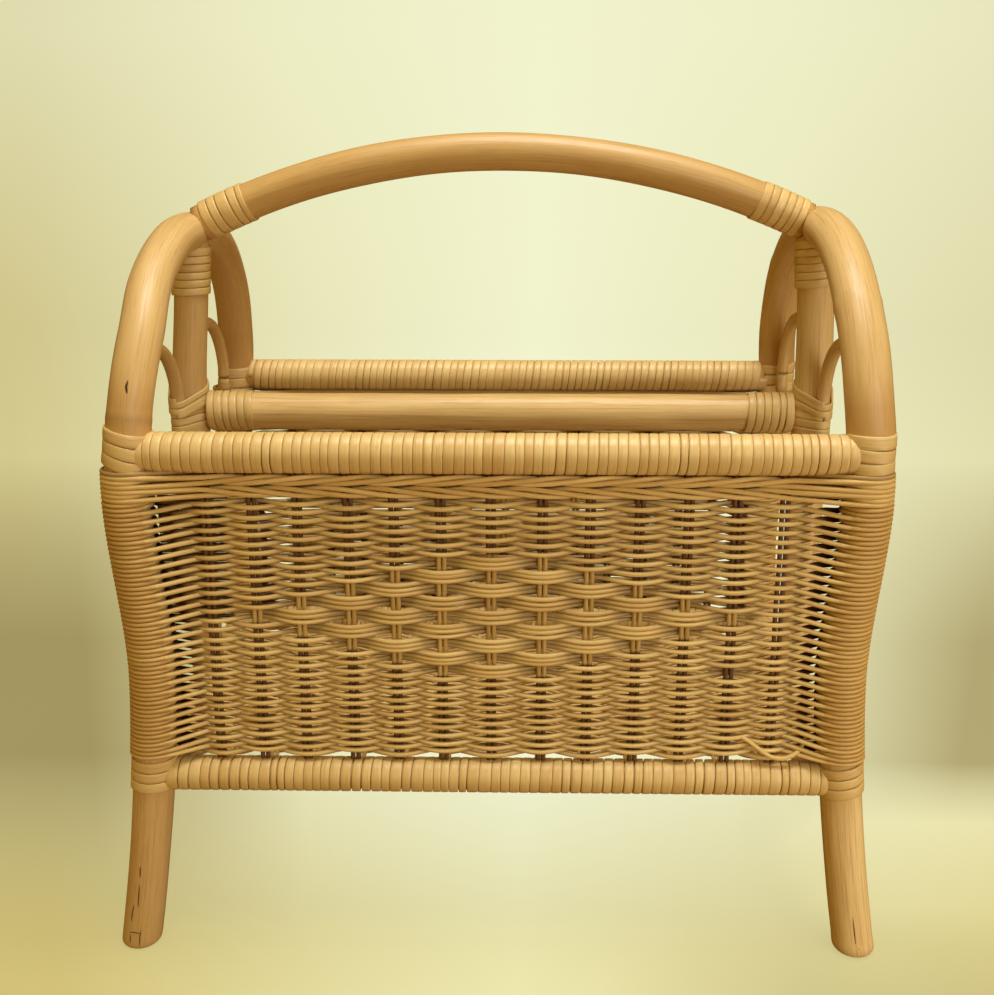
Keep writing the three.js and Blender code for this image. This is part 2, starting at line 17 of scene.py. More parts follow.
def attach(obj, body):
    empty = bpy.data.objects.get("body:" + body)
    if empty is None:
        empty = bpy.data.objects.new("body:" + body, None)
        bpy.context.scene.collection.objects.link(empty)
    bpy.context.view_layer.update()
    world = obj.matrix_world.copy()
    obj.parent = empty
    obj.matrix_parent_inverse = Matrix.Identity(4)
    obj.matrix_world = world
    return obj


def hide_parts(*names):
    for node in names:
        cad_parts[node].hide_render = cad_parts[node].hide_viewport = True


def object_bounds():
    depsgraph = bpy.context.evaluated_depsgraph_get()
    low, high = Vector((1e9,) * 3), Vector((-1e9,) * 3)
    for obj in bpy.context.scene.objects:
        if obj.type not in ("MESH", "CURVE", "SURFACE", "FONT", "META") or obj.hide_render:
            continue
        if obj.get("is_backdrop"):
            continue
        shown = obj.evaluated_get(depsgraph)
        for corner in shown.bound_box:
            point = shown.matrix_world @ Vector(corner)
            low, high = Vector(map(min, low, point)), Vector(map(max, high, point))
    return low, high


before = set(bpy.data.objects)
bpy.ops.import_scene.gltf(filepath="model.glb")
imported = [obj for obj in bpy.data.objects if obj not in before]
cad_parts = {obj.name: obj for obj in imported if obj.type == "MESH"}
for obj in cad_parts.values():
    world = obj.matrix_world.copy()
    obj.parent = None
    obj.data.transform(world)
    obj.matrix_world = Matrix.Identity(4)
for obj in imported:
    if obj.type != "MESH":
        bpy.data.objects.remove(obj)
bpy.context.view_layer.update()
METRES_PER_MM = 0.001
scene = bpy.context.scene


def new_object(name, data):
    made = bpy.data.objects.new(name, data)
    scene.collection.objects.link(made)
    return made


# %% [markdown]
# ## Sizes that the pieces share
# The poles are bent, so every piece that sits on them has to know how far they sway at a height.
# Points read from the solids would do too, but with functions of the height the reeds follow the
# poles without a gap. The formulas are those of the CAD source, and a few steps added to them
# make the two arches differ by some millimetres, as in the photograph.

# %% Sizes of the frame
frame_half = 195.0
post_half = 122.0
shoulder_height = 299.0
arch_rise = 117.5
arch_lean = 6.0
top_rail_height = 301.0
bottom_rail_height = 112.0
centre_rail_height = 299.0
post_radius = 11.6
handle_radius = 11.0
top_rail_radius = 9.7
bottom_rail_radius = 8.5
centre_rail_radius = 11.25
centre_post_radius = 10.25
curl_radius = 4.0
foot_flare, foot_curve, waist_draw, waist_height = 17.5, 1.5, 3.5, 178.0
swell_out, swell_height, swell_end_height = 3.2, 278.0, 340.0
full_turn = 2 * math.pi
hands = (("left", -1), ("right", 1))
faces = (("front", -1), ("back", 1))
rails = (("top", top_rail_height, top_rail_radius),
         ("bottom", bottom_rail_height, bottom_rail_radius))

# How the arches differ, with -1 for left and 1 for right. A step is its size, the height where it
# begins and the length over which it grows.
crown_drop = {-1: 6.9, 1: 3.5}
left_lean = (3.0, 300, 75)
left_front_settling, left_front_out = (0.6, 290, 18), (2.6, 360, 30)
left_back_in, left_back_return = (3.3, 274, 20), (1.4, 312, 30)
right_out, right_crown_out = (1.16, 298, 14), (2.0, 370, 40)


def ease(share):
    """Goes from 0 to 1 and starts and ends level."""
    share = np.clip(share, 0, 1)
    return share * share * (3 - 2 * share)


def step_at(place, size, start, length):
    return size * ease((place - start) / length)


def bell(off, width):
    return np.exp(-((off / width) ** 2))


def rear_share(place):
    """0 on the front half of an arch and 1 on its rear half, eased at the crown."""
    return step_at(place, 1, -30, 60)


def lean_at(height, side=1):
    """How far an arch leans in. The left one leans in a little more."""
    lean = arch_lean * (np.maximum(0, height - shoulder_height) / arch_rise) ** 2
    return lean + step_at(height, *left_lean) if side < 0 else lean


def sway_at(height, side=1, back=0.0):
    """How far a bent pole lies outside the plane of its frame. Back is 1 for its rear leg."""
    foot = (foot_flare + waist_draw) * np.clip(1 - height / waist_height, 0, None) ** foot_curve
    swell = step_at(height, swell_out + waist_draw, waist_height, swell_height - waist_height)
    settle = step_at(height, 1, swell_height, swell_end_height - swell_height)
    if side < 0:
        settle = settle + (1 - back) * step_at(height, *left_front_settling) * (1 - settle)
        inward = step_at(height, *left_back_in) - step_at(height, *left_back_return)
        outward = (1 - back) * step_at(height, *left_front_out) - back * inward
    else:
        outward = step_at(height, *right_out) + step_at(height, *right_crown_out)
    above = swell_out * (1 - settle) - lean_at(height, side) + outward
    return np.where(height <= swell_height, foot + swell - waist_draw, above)


bends = np.array([0, waist_height, swell_height])
print("sway at foot, waist and swell:", sway_at(bends).round(1))

# %% [markdown]
# ## Round reeds and poles as skins
# A reed or a pole is a circle led along a line. Curve objects with a bevel could do it, but the
# finish needs to know at each point how far it is along the grain, so the rings are made here.
# Each point keeps three things for the materials: its place in the grain, a tint, and a mark
# for dark spots. On the poles the marks are real knots and cracks; in the weave they are painted
# shade.

# %% Lines, rings and skins


def along(points):
    """The distance walked to each point of a line."""
    steps = np.linalg.norm(np.diff(points, axis=0), axis=1)
    return np.concatenate([[0], np.cumsum(steps)])


def columns(*parts):
    """A line of points from what each direction holds."""
    return np.stack(parts, axis=1)


def unit(vectors):
    return vectors / np.linalg.norm(vectors, axis=-1, keepdims=True)


def soften(points, reach):
    """Rounds the corners of a line of evenly spaced points."""
    offsets = np.arange(-3 * reach, 3 * reach + 1)
    weights = np.exp(-0.5 * (offsets / reach) ** 2)
    padded = np.pad(points, ((3 * reach, 3 * reach), (0, 0)), mode="edge")
    weights = weights / weights.sum()
    return columns(*(np.convolve(padded[:, k], weights, mode="valid") for k in range(3)))


def resample(points, step):
    """The same line with a point at every step."""
    walked = along(points)
    places = np.linspace(0, walked[-1], max(3, int(round(walked[-1] / step)) + 1))
    return columns(*(np.interp(places, walked, points[:, k]) for k in range(3)))


class Skin:
    """Gathers tubes and strips in millimetres, and makes one smooth mesh of them."""

    def __init__(self):
        self.points, self.faces, self.size = [], [], 0
        self.layers = {"grain": [], "tint": [], "mark": []}

    def add(self, rings, grain, tint=0.0, mark=0.0):
        count, sides = rings.shape[:2]
        index = self.size + np.arange(count * sides).reshape(count, sides)
        turned = np.roll(index, -1, axis=1)
        quads = np.stack([index[:-1], turned[:-1], turned[1:], index[1:]], axis=-1)
        self.faces += quads.reshape(-1, 4).tolist()
        self.faces += [index[0][::-1].tolist(), index[-1].tolist()]
        self.points.append(rings.reshape(-1, 3))
        self.layers["grain"].append(grain.reshape(-1, 3))
        for name, value in (("tint", tint), ("mark", mark)):
            value = np.asarray(value, float)
            value = value[:, None] if value.ndim == 1 else value
            self.layers[name].append(np.broadcast_to(value, (count, sides)).ravel())
        self.size += count * sides

    def make(self, name, finish, slot, *nodes):
        mesh = bpy.data.meshes.new(name)
        mesh.from_pydata((np.concatenate(self.points) * METRES_PER_MM).tolist(), [], self.faces)
        grain = mesh.attributes.new("grain", "FLOAT_VECTOR", "POINT")
        grain.data.foreach_set("vector", np.concatenate(self.layers["grain"]).ravel())
        for layer in ("tint", "mark"):
            values = np.concatenate(self.layers[layer])
            mesh.attributes.new(layer, "FLOAT", "POINT").data.foreach_set("value", values)
        mesh.shade_smooth()
        mesh.materials.append(finish)
        piece = new_object(name, mesh)
        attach(piece, "root")
        if nodes:
            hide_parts(*nodes)
        print(f"{name}: {len(mesh.vertices)} points")


def tube(skin, line, radius, side, sides=8, tint=0.0, mark=0.0, start=0.0, level=None, oval=None):
    """A round reed or pole along a line. Side is a direction that the line never takes, oval is
    how much wider the section is that way, and level is what each ring is square to."""
    side = np.asarray(side, float)
    tangent = unit(np.gradient(line, axis=0))
    first = unit(side - (tangent @ side)[:, None] * tangent)
    second = np.cross(tangent, first)
    angle = np.arange(sides) * full_turn / sides
    around = first[:, None] * np.cos(angle)[:, None] + second[:, None] * np.sin(angle)[:, None]
    radius = np.broadcast_to(np.asarray(radius, float).reshape(-1, 1), (len(line), sides))
    offset = around * radius[..., None]
    if oval is not None:
        wider = radius * np.cos(angle) * oval[:, None]
        offset = offset + wider[..., None] * first[:, None]
    if level is not None:
        ahead = np.einsum("nk,nk->n", tangent, level)[:, None]
        slide = np.einsum("nsk,nk->ns", offset, level) / ahead
        offset = offset - slide[..., None] * tangent[:, None]
    walked = np.broadcast_to((along(line) + start)[:, None], radius.shape)
    grain = np.stack([radius * np.cos(angle), radius * np.sin(angle), walked], axis=-1)
    skin.add(line[:, None] + offset, grain, tint, mark)


print("tube and skin are ready")

# %% [markdown]
# ## The camera
# The photograph was taken close by and from a little above the rim, so the near legs look larger.
# The camera's place was worked out from known points of the frame.

# %% The camera
camera_place, camera_lens = (0.0127, -0.7411, 0.4495), 43.417
camera_tilt, camera_turn = 74.42, 1.10
camera_data = bpy.data.cameras.new("camera")
camera_data.lens = camera_lens
camera = new_object("camera", camera_data)
camera.location = camera_place
camera.rotation_euler = (math.radians(camera_tilt), 0, math.radians(camera_turn))
scene.camera = camera
scene.view_settings.view_transform = "Standard"
print("camera stands", -camera_place[1], "m before the basket's middle")

# %% [markdown]
# ## The finishes
# Peeled rattan is a pale tan with long thin streaks, and its knots leave faint rings. The reed is
# the core of the same plant, sawn round and a little rougher, and the cane is its glossy skin.
# All of them are one recipe: noise stretched along the grain, a tint that differs from strand to
# strand, and a darker brown where the skin is marked. Where a reed lies deep in the weave, that
# darker brown is painted shade.

# %% A finish for rattan


def add_node(tree, kind, inputs=None, **settings):
    made = tree.nodes.new("ShaderNode" + kind)
    for key, value in settings.items():
        setattr(made, key, value)
    for socket, value in (inputs or {}).items():
        if isinstance(value, bpy.types.NodeSocket):
            tree.links.new(value, made.inputs[socket])
        else:
            made.inputs[socket].default_value = value
    return made


def colour(red, green, blue):
    """A colour as the eye sees it, from 0 to 255, in the renderer's own linear numbers."""
    shares = [c / 255 for c in (red, green, blue)]
    linear = [c / 12.92 if c <= 0.04045 else ((c + 0.055) / 1.055) ** 2.4 for c in shares]
    return (*linear, 1.0)


def new_material(name):
    material = bpy.data.materials.new(name)
    material.use_nodes = True
    return material, material.node_tree, material.node_tree.nodes["Principled BSDF"]


def blend(tree, share, first, second, mode="MIX"):
    inputs = {0: share, 6: first, 7: second}
    return add_node(tree, "Mix", inputs, data_type="RGBA", blend_type=mode).outputs[2]


def spread(tree, value, low, high, to_low=0.0, to_high=1.0):
    """Maps the range from low to high onto another range, and holds the value at its ends."""
    inputs = {0: value, 1: low, 2: high, 3: to_low, 4: to_high}
    return add_node(tree, "MapRange", inputs).outputs[0]


def grain_noise(tree, across, length, detail):
    """Noise with features of these sizes in millimetres, long ones along the grain."""
    place = add_node(tree, "Attribute", attribute_name="grain").outputs["Vector"]
    scale = {"Vector": place, "Scale": (1 / across, 1 / across, 1 / length)}
    stretched = add_node(tree, "Mapping", scale).outputs[0]
    inputs = {"Vector": stretched, "Scale": 1.0, "Detail": detail}
    return add_node(tree, "TexNoise", inputs).outputs["Fac"]


bump_strength, bump_metres, coat_roughness = 0.25, 0.0004, 0.35


def rattan(name, pale, deep, brown, streak, roughness, coat=0.15, shade_colour=None):
    """Streak is how far the deep colour comes through in streaks. The marks take the brown, unless
    a colour of their own is given; on the reed that colour is painted shade.
    """
    material, tree, shader = new_material(name)
    tint, mark = (add_node(tree, "Attribute", attribute_name=layer).outputs["Fac"]
                  for layer in ("tint", "mark"))
    streaks = grain_noise(tree, across=1.3, length=70.0, detail=3.0)
    fibres = grain_noise(tree, across=0.35, length=16.0, detail=2.0)
    patches = grain_noise(tree, across=14.0, length=60.0, detail=1.0)
    base = blend(tree, spread(tree, tint, -1.0, 1.0), pale, deep)
    streaked = blend(tree, spread(tree, streaks, 0.48, 0.72, to_high=streak), base, deep)
    patched = blend(tree, spread(tree, patches, 0.4, 0.75, to_high=0.35), streaked, deep)
    fibred = blend(tree, spread(tree, fibres, 0.55, 0.8, to_high=0.4), patched, brown)
    # The marks darken the colour: real knot lines and cracks on the poles, painted shade in the
    # weave.
    marked = blend(tree, mark, fibred, shade_colour or brown)
    tree.links.new(marked, shader.inputs["Base Color"])
    height = add_node(tree, "Math", {0: streaks, 1: fibres}, operation="ADD").outputs[0]
    inputs = {"Strength": bump_strength, "Distance": bump_metres, "Height": height}
    normal = add_node(tree, "Bump", inputs).outputs[0]
    tree.links.new(normal, shader.inputs["Normal"])
    rough = spread(tree, fibres, 0.3, 0.8, roughness - 0.05, roughness + 0.12)
    tree.links.new(rough, shader.inputs["Roughness"])
    shader.inputs["Coat Weight"].default_value = coat
    shader.inputs["Coat Roughness"].default_value = coat_roughness
    return material


brown = colour(112, 70, 26)
pole_finish = rattan("peeled_pole", colour(240, 210, 150), colour(202, 160, 98), brown,
                     streak=0.8, roughness=0.42)
handle_finish = rattan("peeled_handle", colour(240, 206, 142), colour(190, 146, 80), brown,
                       streak=0.65, roughness=0.4)
# The reed's marks are painted shade, in a deep red-brown.
reed_finish = rattan("round_reed", colour(244, 214, 144), colour(208, 168, 98), brown,
                     streak=0.5, roughness=0.52, coat=0.05, shade_colour=colour(74, 34, 14))
# The stakes' finish is the reed's, painted darker as shade; its brown serves the fibres and the
# painted shade of the marks.
shaded_stake_finish = rattan("round_stake_shaded", colour(234, 204, 132), colour(198, 158, 88),
                      colour(80, 38, 14), streak=0.5, roughness=0.6, coat=0.0)
cane_finish = rattan("flat_cane", colour(240, 214, 150), colour(214, 176, 110), brown,
                     streak=0.5, roughness=0.4)
print("finishes:", [material.name for material in bpy.data.materials])

# %% [markdown]
# ## The bent end frames
# Each end of the basket is one thick pole, steamed and bent over: a leg, an arch and a leg. Its
# feet are cut level and their edges worn round. Rings square to the line would cut the feet
# askew, so each ring of a leg lies level, and only the arch has square rings. A rattan pole has a
# knot every hand's breadth or two, which stays as a low swelling with a thin dark line.

# %% The end frames
foot_round = 4.0
knot_spacing, knot_reach, knot_line = 190.0, 3.5, 0.8
knot_swelling, knot_mark = 0.35, 0.3
frame_first_knot = {-1: 130, 1: 195}
arch_oval = {-1: 0.02, 1: 0.10}
# The right foot is painted paler as light, and the rear half of each arch deeper as shade.
shoulder_tint, rear_arch_shade, painted_foot_light = 1.2, {-1: 0.6, 1: 0.2}, {-1: 0.0, 1: 1.6}


def knots(walked, first, spacing):
    """How near each place is to a knot, from 0 to 1, for its swelling and for its thin line."""
    off = np.abs((walked - first + spacing / 2) % spacing - spacing / 2)
    return bell(off, knot_reach), bell(off, knot_line)


def pole(name, node, line, radius, side, first_knot, spacing=knot_spacing, pale=False,
         sides=32, tint=0.0, level=None, wear=0.0, oval=None):
    """A pole with knots and slow waves in its skin. Wear is what its radius has lost."""
    walked = along(line)
    swelling, ring = knots(walked, first_knot, spacing)
    waviness = 0.12 * np.sin(walked / 37 + first_knot) + 0.08 * np.sin(walked / 13.7)
    radii = radius + knot_swelling * swelling + waviness - wear
    skin = Skin()
    tube(skin, line, radii, side, sides, tint, knot_mark * ring, first_knot * 7, level, oval)
    finish, slot = (handle_finish, "pale_pole") if pale else (pole_finish, "pole")
    skin.make(name, finish, slot, node)


def frame_line(side):
    """Up one leg, over the arch and down the other. The points are close at the rounded feet."""
    foot = np.array([0, 0.15, 0.6, 1.4, 2.6, 4.0, 7.0])
    leg = np.concatenate([foot, np.arange(11, shoulder_height - 2, 4.0)])
    angle = np.linspace(0, math.pi, 90)
    arch = shoulder_height + (arch_rise - crown_drop[side]) * np.sin(angle)
    heights = np.concatenate([leg, arch, leg[::-1]])
    ends = post_half + 0 * leg
    places = np.concatenate([-ends, -post_half * np.cos(angle), ends])
    across = side * (frame_half + sway_at(heights, side, rear_share(places)))
    return columns(across, places, heights)


for hand, side in hands:
    line = frame_line(side)
    places, heights = line[:, 1], line[:, 2]
    tangent = unit(np.gradient(line, axis=0))
    upright = np.array([0, 0, 1.0]) * np.sign(tangent[:, 2:3] + 1e-9)
    bend = step_at(heights, 1, 220, 75)[:, None]
    level = unit((1 - bend) * upright + bend * tangent)
    below = np.clip(foot_round - heights, 0, foot_round)
    wear = foot_round - np.sqrt(foot_round**2 - below**2)
    tint = shoulder_tint * bell(heights - 318, 16)
    # Painted light: the right foot is paler.
    tint = tint - painted_foot_light[side] * ease((118 - heights) / 20)
    # Painted shade: the rear half of each arch, above the shoulder, is deeper.
    tint = tint + step_at(places, rear_arch_shade[side], 20, 30) * step_at(heights, 1, 300, 20)
    pole(f"{hand}_bent_frame", f"{hand}_arch_frame", line, post_radius, (1, 0, 0),
         frame_first_knot[side], tint=tint, level=level, wear=wear,
         oval=step_at(heights, arch_oval[side], 298, 14))

# %% [markdown]
# ## Cracks and nicks
# The feet are split by wear and the left arch has a nick. A painted line would stay flat, so each
# crack is a thin dark strand, laid along the skin of the pole and sunk half into it. It is given
# by its width and the points that it joins, across and up.

# %% Cracks in the poles
cracks = {
    "left": [(0.26, [(-205.6, 57), (-205.8, 53), (-206.2, 50)]),
             (0.26, [(-206.9, 45), (-207.8, 38), (-208.9, 30)]),
             (0.26, [(-211.5, 31), (-213.0, 25), (-214.1, 20)]),
             (0.22, [(-215.9, 12.3), (-212.9, 13.2), (-208.8, 12.4)]),
             (0.22, [(-215.1, 11), (-215.6, 8), (-215.9, 5.4)]),
             (0.22, [(-208.5, 14.7), (-209.5, 10), (-210.2, 4.4)]),
             (0.50, [(-191.6, 340.4), (-192.4, 337.2), (-191.9, 333.7)])],
    "right": [(0.26, [(206.9, 29), (208.5, 20), (210.0, 11)]),
              (0.26, [(211.0, 8.5), (212.2, 7.6), (213.4, 7.8)])],
}
crack_mark, nick_mark, widest_crack = 0.2, 0.9, 0.4
crack_edge, crack_taper = 0.08, 0.6


def front_skin(line, across, height):
    """The point on the front of a pole that lies at this place across and up."""
    for depth in np.arange(-150, -60, 0.1):
        if np.linalg.norm(line - (across, depth, height), axis=1).min() <= post_radius + 0.12:
            return across, depth, height
    return across, -post_half, height


crack_finish = rattan("crack", colour(150, 104, 52), colour(104, 66, 30), colour(60, 34, 16),
                      streak=0.6, roughness=0.7, coat=0.0)
for hand, side in hands:
    line = resample(frame_line(side), 0.8)
    skin = Skin()
    for width, crack in cracks[hand]:
        flat = resample(np.array([(*corner, 0) for corner in crack]), 1.2)[:, :2]
        spots = np.array([front_skin(line, *spot) for spot in flat])
        share = np.linspace(0, 1, len(spots))
        radius = crack_edge + width * np.sin(math.pi * share) ** crack_taper
        mark = nick_mark if width > widest_crack else crack_mark
        tube(skin, spots, radius, (0, 1, 0.01), 6, tint=0.6, mark=mark)
    skin.make(f"{hand}_cracks", crack_finish, "pole")

# %% [markdown]
# ## The handle, the rails and the stretchers
# These are poles too. The handle is an arc between the tops of the arches, a little lower at its
# left end. The straight ones run between the posts, where cane hides their ends.

# %% The handle and the straight poles
handle_rise, handle_reach, handle_crown = 42.6, 189.0, 456.0
handle_bow = (handle_reach**2 + handle_rise**2) / (2 * handle_rise)
handle_left_drop, handle_ends = 3.4, (-181.5, 184.0)
rail_inset, centre_reach, stretcher_reach = 10, 182.5, 112
centre_post_foot, centre_post_head = 116.0, {-1: 406.0, 1: 410.0}
centre_post_radii = {-1: centre_post_radius + 0.15, 1: centre_post_radius + 0.9}
centre_post_tint = {-1: 0.4, 1: -0.3}


def handle_point(across):
    height = handle_crown - handle_bow + np.sqrt(handle_bow**2 - across**2)
    height = height - handle_left_drop * np.clip(-across / handle_reach, 0, 1) ** 2
    return columns(across, 0 * across, height)


def centre_post_point(height, side):
    return columns(side * (frame_half - lean_at(height, side)), 0 * height, height)


def straight(start, end, step=4.0):
    return np.linspace(start, end, int(math.dist(start, end) / step) + 2)


pole("bowed_handle", "handle", handle_point(np.linspace(*handle_ends, 90)), handle_radius,
     (0, 1, 0), 30.0, 420.0, True, tint=0.28)
for position, face in faces:
    for level_name, height, radius in rails:
        reach = frame_half + float(sway_at(height)) - rail_inset
        line = straight((-reach, face * post_half, height), (reach, face * post_half, height))
        rail = f"{position}_{level_name}_rail"
        pole(f"{rail}_pole", rail, line, radius, (0, 1, 0), 40.0, sides=20, tint=0.8)

line = straight((-centre_reach, 0, centre_rail_height), (centre_reach, 0, centre_rail_height))
pole("centre_rail_pole", "centre_rail", line, centre_rail_radius, (0, 1, 0), 20.0, 500.0, True,
     tint=-0.9)
stretcher_across = frame_half + float(sway_at(bottom_rail_height))
for hand, side in hands:
    ends = [(side * stretcher_across, end * stretcher_reach, bottom_rail_height) for end in (-1, 1)]
    pole(f"{hand}_stretcher_pole", f"{hand}_bottom_stretcher", straight(*ends),
         bottom_rail_radius, (1, 0, 0), 30.0, sides=20)
    line = centre_post_point(np.arange(centre_post_foot, centre_post_head[side], 4.0), side)
    pole(f"{hand}_centre_post_pole", f"{hand}_centre_post", line, centre_post_radii[side],
         (0, 1, 0), 110.0, tint=centre_post_tint[side])

# %% [markdown]
# ## The curls
# Between each corner post and the centre post stands a thin rod bent into a half circle. It
# stiffens the end and its legs are tied to the posts.

# %% The curls
curl_inner, curl_outer, curl_spring = 14.55, 103.1, 301.7
curl_bend = (curl_outer - curl_inner) / 2
curl_middle = (curl_outer + curl_inner) / 2
curl_aside, curl_raise = 3.2, {-1: 0.0, 1: 4.5}


def curl_line(side, face):
    """Up beside the centre post, over the half circle and down beside the corner post."""
    inner_leg = np.arange(285.0, curl_spring, 3.0)
    outer_leg = np.arange(curl_spring, 290.5, -3.0)
    angle = np.linspace(0, math.pi, 50)
    place = curl_middle - curl_bend * np.cos(angle)
    height = curl_spring + curl_bend * np.sin(angle)
    places = np.concatenate([curl_inner + 0 * inner_leg, place, curl_outer + 0 * outer_leg])
    heights = np.concatenate([inner_leg, height, outer_leg])
    heights = heights + curl_raise[side] * ease((heights - 290) / 10)
    return columns(side * (frame_half + curl_aside) + 0 * places, face * places, heights)


for hand, side in hands:
    for position, face in faces:
        curl = f"{hand}_{position}_curl"
        pole(f"{curl}_rod", curl, curl_line(side, face), curl_radius, (1, 0, 0), 90.0, sides=16,
             tint=0.3)

# %% [markdown]
# ## The woven walls
# One long reed goes to and fro across thirteen pairs of stakes, in front of one pair and behind
# the next, and turns round the post at each end. In the middle three neighbouring rows pass
# together, which makes the diamond. A texture could only paint this, so the reed's whole line is
# worked out here: its place across the wall, out of it and up it.

# %% The line of the weaver
stake_places = np.array([-156.5, -131.6, -107.1, -79.7, -54.9, -29.5, -2.4, 25.5, 51.0, 77.6,
                         103.8, 129.6, 155.0])
stakes = np.arange(len(stake_places)) - len(stake_places) // 2
stake_radius, stake_apart = 1.35, 1.5
reed_radius, wall_reed_radius = 1.3, 1.42
over_out = 2.95
row_count, diamond_foot, diamond_reach = 59, 20, 4
height_rows = [0, 2, 4, 6, 14, 21, 27, 33, 39, 45, 58]
height_places = [126.3, 130.6, 135.8, 140.9, 160.0, 177.4, 192.8, 209.4, 225.3, 240.8, 274.0]
wrap_foot, wrap_pitch = 125.9, 2.58
leave_angle, wrap_angle = 73.0, 574.0
tuck_from, tuck_to, tuck_below, end_cut = 100, 214, -0.3, 150
short_rows = 3
pass_dip, stake_slack = 0.7, 0.12
missed_pass = (5, 21)


def plain_weave(stake, row):
    """Whether this row passes in front of this pair of stakes."""
    return (stake + row) % 2 == 0


def diamond_band(stake, row):
    """A row's band of three rows, from the diamond's middle, and whether the diamond is here."""
    band = (row - diamond_foot) // 3 - diamond_reach
    return band, (abs(band) <= diamond_reach) & (abs(stake) + abs(band) <= diamond_reach + 1)


def in_front(stake, row):
    """Whether a row of a wall passes in front. In the diamond three rows pass together."""
    if (stake, row) == missed_pass:
        return False
    band, inside = diamond_band(stake, row)
    return plain_weave(stake, band if inside else row)


def glide(start, end, count, eased=True):
    """Values from start to just before end, evenly spaced or eased at both ends."""
    share = np.linspace(0, 1, count, endpoint=False)
    share = (1 - np.cos(math.pi * share)) / 2 if eased else share
    return start + (end - start) * share


def row_across(knots_u, knots_v, knots_w):
    """One row from tangent point to tangent point: across, out and up."""
    parts = []
    last = len(knots_u) - 2
    for k in range(last + 1):
        at_post = k in (0, last)
        count = 22 if at_post else 16
        u = glide(knots_u[k], knots_u[k + 1], count, False)
        v = glide(knots_v[k], knots_v[k + 1], count, not at_post)
        w = glide(knots_w[k], knots_w[k + 1], count)
        parts.append(columns(u, v, w))
    parts.append(np.array([[knots_u[-1], knots_v[-1], knots_w[-1]]]))
    return np.concatenate(parts)


def post_turns(side, start, end, turned, centre_at, radius, foot, pitch):
    """Turns round a post. The angle is seen from inside the wall and grows past its front."""
    angle = np.linspace(start, end, int(abs(end - start) / 8) + 2)
    w = foot + pitch * (turned + np.abs(angle - start) / 360)
    u = side * (centre_at(w) - radius * np.cos(np.radians(angle)))
    return columns(u, radius * np.sin(np.radians(angle)), w)


def gap_filling(across, height):
    """How far a strand behind the wall is drawn up or down beside a post, to fill a gap."""
    right = bell(across - 174.5, 5.5) * np.interp(height, [160, 260], [0.0, 1.5])
    middle = np.interp(height, [200, 250], [172.0, 176.0])
    wide = np.interp(height, [200, 250], [4.0, 7.0])
    left = bell(across + middle, wide) * np.interp(height, [180, 215], [0.0, 1.9])
    return right - left


def weave(rows, row_height, over, centre_at, radius, foot, pitch, random, wander=0.25):
    """The whole weaver of a wall as one line, with the row that each point belongs to.

    A row that passes in front of the outermost stakes comes from behind the posts, and the next
    one comes over their fronts. Between the two the weaver takes a turn and a half round a post,
    or half a turn at the foot, where the rows lie lower than the turns. Its start is tucked
    behind the right post."""
    post = (centre_at, radius, foot, pitch)
    turned = {-1: 0.0, 1: 0.0}
    parts = [post_turns(1, leave_angle + tuck_from, leave_angle + tuck_to, tuck_below, *post)]
    owners = [np.zeros(len(parts[0]))]
    jitter = random.normal(0, wander, rows).clip(-2 * wander, 2 * wander)
    for row in range(rows):
        behind = row % 2 == 0
        end = -1 if behind else 1
        turned[end] += 2 - wrap_angle / 360 if row else 0
        angle = math.radians(-leave_angle if behind else leave_angle)
        w_left, w_right = (foot + pitch * turned[side] for side in (-1, 1))
        u_left = -(float(centre_at(w_left)) - radius * math.cos(angle))
        u_right = float(centre_at(w_right)) - radius * math.cos(angle)
        v_end = radius * math.sin(angle)
        middle = [(over_out if over(s, row) else -over_out) for s in stakes]
        slack = random.normal(0, stake_slack, len(stakes))
        dips = np.where(np.array(middle) > 0, -pass_dip, pass_dip)
        heights = [row_height(row, s) + jitter[row] + d for s, d in zip(stakes, slack + dips)]
        line = row_across([u_left, *stake_places, u_right], [v_end, *middle, v_end],
                          [w_left, *heights, w_right])
        if behind:
            line[:, 2] += gap_filling(line[:, 0], line[:, 2])
            line = line[::-1]
        parts.append(line[:-1])
        owners.append(np.full(len(line) - 1, row, float))
        sweep = wrap_angle - 360 * (row < short_rows) + 360 * (row == rows - 2)
        first, last = leave_angle, leave_angle + sweep
        if behind:
            first, last = last, first - (end_cut if row == rows - 1 else 0)
        turns = post_turns(end, first, last, turned[end], *post)
        turned[end] += sweep / 360
        parts.append(turns[:-1])
        owners.append(np.linspace(row, row + 1, len(turns) - 1))
    return soften(np.concatenate(parts), 2), np.concatenate(owners)


def wall_row_height(row, stake):
    return float(np.interp(row, height_rows, height_places))


def post_centre_at(height):
    return frame_half + sway_at(height)


print(row_count, "rows from", height_places[0], "to", height_places[-1], "mm")

# %% [markdown]
# ## Placing a wall
# The front and the back wall are the same wall, turned round, so the weave is worked out once in
# the wall's own directions and then placed. The stakes are straight reeds in pairs. Their finish
# is painted darker as shade, where the weaver keeps the light off them, and darkest in the narrow
# slots of plain weave. The front wall has a loose loop at its lower right, and ends of reed behind
# it, painted dark as shade, fill the slots beside the left post.

# %% The weaver and the stakes of both walls


def place_wall(points, face):
    """Across, out and up become the basket's own directions. The back wall is turned round."""
    u, v, w = points.T
    return columns(-face * u, face * (post_half + v), w)


def reed(skin, line, random, side=(0, 0, 1), radius=reed_radius, tint=0.0, sides=8, shade=0.0):
    tube(skin, line, radius, side, sides, tint, shade, random.uniform(0, 5000))


def gap_shade(stake, heights):
    """Painted shade on the stakes: dark in the narrow slots of plain weave, bright in the diamond's
    gaps.
    """
    row = np.round(np.interp(heights, height_places, height_rows))
    return np.where(diamond_band(stake, row)[1], 0.1, 0.9)


